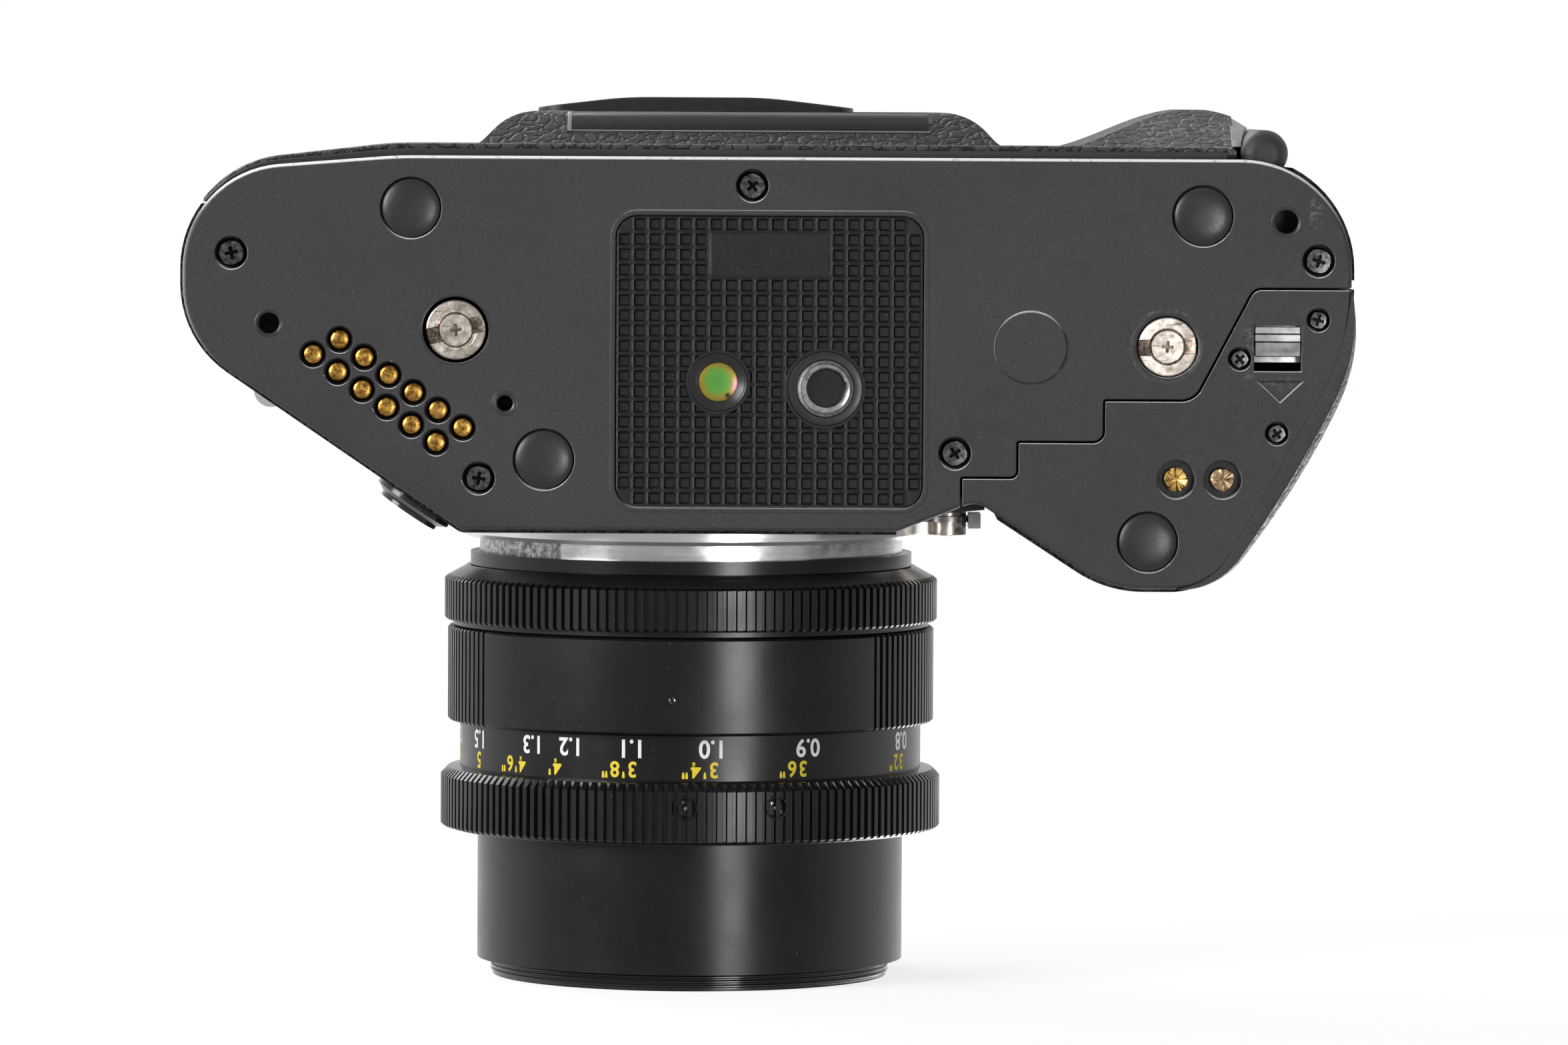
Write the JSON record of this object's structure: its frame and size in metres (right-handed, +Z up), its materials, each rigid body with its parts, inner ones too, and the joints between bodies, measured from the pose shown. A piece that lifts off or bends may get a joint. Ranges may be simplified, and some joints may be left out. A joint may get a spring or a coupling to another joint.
{
  "type": "film slr camera",
  "caption": "Film SLR camera with a short tele lens, ribbed focus ring and hood, patterned base pad, tripod bush, battery grip and hinged back door.",
  "frame": {"origin": "centre of the tripod socket's mouth in the underside of the base plate", "axes": "+Z up through the top cover, -Y the way the lens points, -X the hand grip's side"},
  "size_m": [0.1645, 0.1229, 0.1015],
  "materials": {
    "crinkle_paint": "fine crinkle paint, dark charcoal",
    "pad_rubber": "moulded with a grid of square pits",
    "foot_rubber": "matte",
    "black_screw": "blackened",
    "bush_steel": "turned",
    "insert_metal": "polished",
    "black_plastic": "satin",
    "gold": "gold plated",
    "leatherette": "pebbled black",
    "cast_alloy": "die cast, black",
    "matt_black": "flock black",
    "screen": "ground",
    "optical_glass": "coated",
    "shutter_metal": "black",
    "chrome": "polished",
    "top_paint": "fine crinkle paint",
    "shoe_steel": "brushed",
    "cap_metal": "black enamel with a bright rim",
    "control_metal": "black anodised",
    "lever_paint": "black",
    "nickel": "nickel plated",
    "spool_plastic": "satin",
    "lever_metal": "grey",
    "cell_wrap": "plain sleeve",
    "door_paint": "black",
    "gloss_black": "gloss",
    "plate_metal": "polished black",
    "mirror_glass": "front silvered",
    "curtain_metal": "black blades",
    "anodised_black": "satin black anodised",
    "iris_metal": "matt black"
  },
  "bodies": {
    "camera_body": {"base_plate": "crinkle_paint", "base_pad": "pad_rubber", "feet": "foot_rubber", "base_screws": "black_screw", "tripod_socket": "bush_steel", "locating_insert": "insert_metal", "contact_block": "black_plastic", "contact_pins": "gold", "body_shell": "black_plastic", "body_leather": "leatherette", "door_hinge_pin": "bush_steel", "film_chassis": "cast_alloy", "mirror_box": "matt_black", "focusing_screen": "screen", "pentaprism": "optical_glass", "shutter_frame": "shutter_metal", "mount_ring": "chrome", "top_cover": "top_paint", "eyepiece_frame": "black_plastic", "eyepiece_lens": "optical_glass", "hot_shoe": "shoe_steel", "sync_cap": "cap_metal", "strap_lugs": "chrome"},
    "shutter_button": {"shutter_button": "control_metal"},
    "shutter_dial": {"shutter_dial": "control_metal"},
    "mode_dial": {"mode_dial": "control_metal"},
    "advance": {"advance_lever": "lever_paint", "wind_shaft": "nickel"},
    "take_up_spool": {"take_up_spool": "spool_plastic"},
    "sprocket": {"sprocket": "spool_plastic"},
    "rewind_hub": {"rewind_hub": "control_metal"},
    "rewind_handle": {"rewind_handle": "control_metal"},
    "rewind_coupling": {"rewind_coupling": "nickel"},
    "lens_release": {"lens_release": "nickel"},
    "stop_down_lever": {"stop_down_lever": "lever_metal"},
    "diopter_dial": {"diopter_dial": "black_plastic"},
    "battery_grip": {"grip_shell": "black_plastic", "grip_base": "crinkle_paint", "grip_leather": "leatherette", "grip_screws": "black_screw", "grip_contacts": "gold", "grip_foot": "foot_rubber", "battery_cells": "cell_wrap"},
    "grip_latch": {"grip_latch": "chrome"},
    "back_door": {"door_shell": "door_paint", "door_leather": "leatherette", "door_panel": "gloss_black", "pressure_plate": "plate_metal"},
    "reflex_mirror": {"reflex_mirror": "mirror_glass"},
    "shutter_curtain": {"shutter_curtain": "curtain_metal"},
    "lens": {"lens_bayonet": "chrome", "lens_barrel": "anodised_black", "lens_fixed_ring": "anodised_black"},
    "aperture_ring": {"aperture_ring": "anodised_black"},
    "focus_ring": {"focus_ring": "anodised_black"},
    "front_barrel": {"focus_barrel": "anodised_black", "front_glass": "optical_glass", "rear_glass": "optical_glass", "iris_unit": "iris_metal"},
    "hood": {"hood": "anodised_black"}
  },
  "joints": [
    {"name": "shutter_press", "type": "slide", "parent": "camera_body", "child": "shutter_button", "axis": [0, 0, -1], "range_m": [0, 0.0012], "stiffness_N_per_m": 500, "springref_m": -0.0005},
    {"name": "shutter_dial_turn", "type": "hinge", "parent": "camera_body", "child": "shutter_dial", "pos_m": [-0.0275, 0.004, 0.08], "axis": [0, 0, 1], "range_deg": [0, 330]},
    {"name": "mode_dial_turn", "type": "hinge", "parent": "camera_body", "child": "mode_dial", "pos_m": [0.0685, 0.0095, 0.08], "axis": [0, 0, 1], "range_deg": [0, 270]},
    {"name": "film_wind", "type": "hinge", "parent": "camera_body", "child": "advance", "pos_m": [-0.0463, 0.0059, 0.08], "axis": [0, 0, 1], "range_deg": [0, 120], "stiffness_Nm_per_rad": 0.04, "springref_deg": -11.46},
    {"name": "spool_turn", "type": "hinge", "parent": "camera_body", "child": "take_up_spool", "pos_m": [-0.027, 0.0096, 0.04], "axis": [0, 0, 1], "range_deg": [0, 312]},
    {"name": "sprocket_turn", "type": "hinge", "parent": "camera_body", "child": "sprocket", "pos_m": [-0.0086, 0.02046, 0.04], "axis": [0, 0, 1], "range_deg": [0, 481]},
    {"name": "rewind_turn", "type": "hinge", "parent": "camera_body", "child": "rewind_hub", "pos_m": [0.0501, 0.0077, 0.08], "axis": [0, 0, 1], "continuous": true},
    {"name": "crank_fold", "type": "hinge", "parent": "rewind_hub", "child": "rewind_handle", "pos_m": [0.0501, 0.0127, 0.08235], "axis": [-1, 0, 0], "range_deg": [0, 160]},
    {"name": "rewind_dog_turn", "type": "hinge", "parent": "camera_body", "child": "rewind_coupling", "pos_m": [0.0501, 0.0077, 0.005], "axis": [0, 0, 1], "continuous": true},
    {"name": "lens_release_press", "type": "slide", "parent": "camera_body", "child": "lens_release", "axis": [0, 1, 0], "range_m": [0, 0.0015], "stiffness_N_per_m": 400, "springref_m": -0.0005},
    {"name": "stop_down", "type": "hinge", "parent": "camera_body", "child": "stop_down_lever", "pos_m": [-0.0173, -0.0196, 0.04], "axis": [0, 1, 0], "range_deg": [0, 22], "stiffness_Nm_per_rad": 0.01, "springref_deg": -11.46},
    {"name": "diopter_turn", "type": "hinge", "parent": "camera_body", "child": "diopter_dial", "pos_m": [0.0368, 0.03315, 0.0894], "axis": [1, 0, 0], "range_deg": [0, 300]},
    {"name": "grip_remove", "type": "slide", "parent": "camera_body", "child": "battery_grip", "axis": [0, 0, -1], "range_m": [0, 0.07]},
    {"name": "grip_latch_slide", "type": "slide", "parent": "battery_grip", "child": "grip_latch", "axis": [0, -1, 0], "range_m": [0, 0.0018], "stiffness_N_per_m": 300, "springref_m": -0.0005},
    {"name": "door_open", "type": "hinge", "parent": "camera_body", "child": "back_door", "pos_m": [-0.0595, 0.0321, 0.04], "axis": [0, 0, 1], "range_deg": [0, 120]},
    {"name": "mirror_flip", "type": "hinge", "parent": "camera_body", "child": "reflex_mirror", "pos_m": [0.0185, 0.0175, 0.0548], "axis": [-1, 0, 0], "range_deg": [0, 45], "stiffness_Nm_per_rad": 0.004, "springref_deg": -28.65},
    {"name": "curtain_drop", "type": "slide", "parent": "camera_body", "child": "shutter_curtain", "axis": [0, 0, -1], "range_m": [0, 0.0257]},
    {"name": "lens_twist", "type": "hinge", "parent": "camera_body", "child": "lens", "pos_m": [0.0185, -0.022, 0.042], "axis": [0, 1, 0], "range_deg": [0, 60]},
    {"name": "aperture_turn", "type": "hinge", "parent": "lens", "child": "aperture_ring", "pos_m": [0.0185, -0.03, 0.042], "axis": [0, 1, 0], "range_deg": [0, 60]},
    {"name": "focus_turn", "type": "hinge", "parent": "lens", "child": "focus_ring", "pos_m": [0.0185, -0.055, 0.042], "axis": [0, 1, 0], "range_deg": [0, 250]},
    {"name": "focus_travel", "type": "slide", "parent": "lens", "child": "front_barrel", "axis": [0, -1, 0], "range_m": [0, 0.0161]},
    {"name": "hood_pull", "type": "slide", "parent": "front_barrel", "child": "hood", "axis": [0, -1, 0], "range_m": [0, 0.014]}
  ],
  "couplings": [
    {"joint": "spool_turn", "follows": "film_wind", "ratio": 2.592},
    {"joint": "sprocket_turn", "follows": "film_wind", "ratio": 4},
    {"joint": "rewind_dog_turn", "follows": "rewind_turn", "ratio": 1},
    {"joint": "focus_travel", "follows": "focus_turn", "m_per_rad": 0.003667}
  ]
}
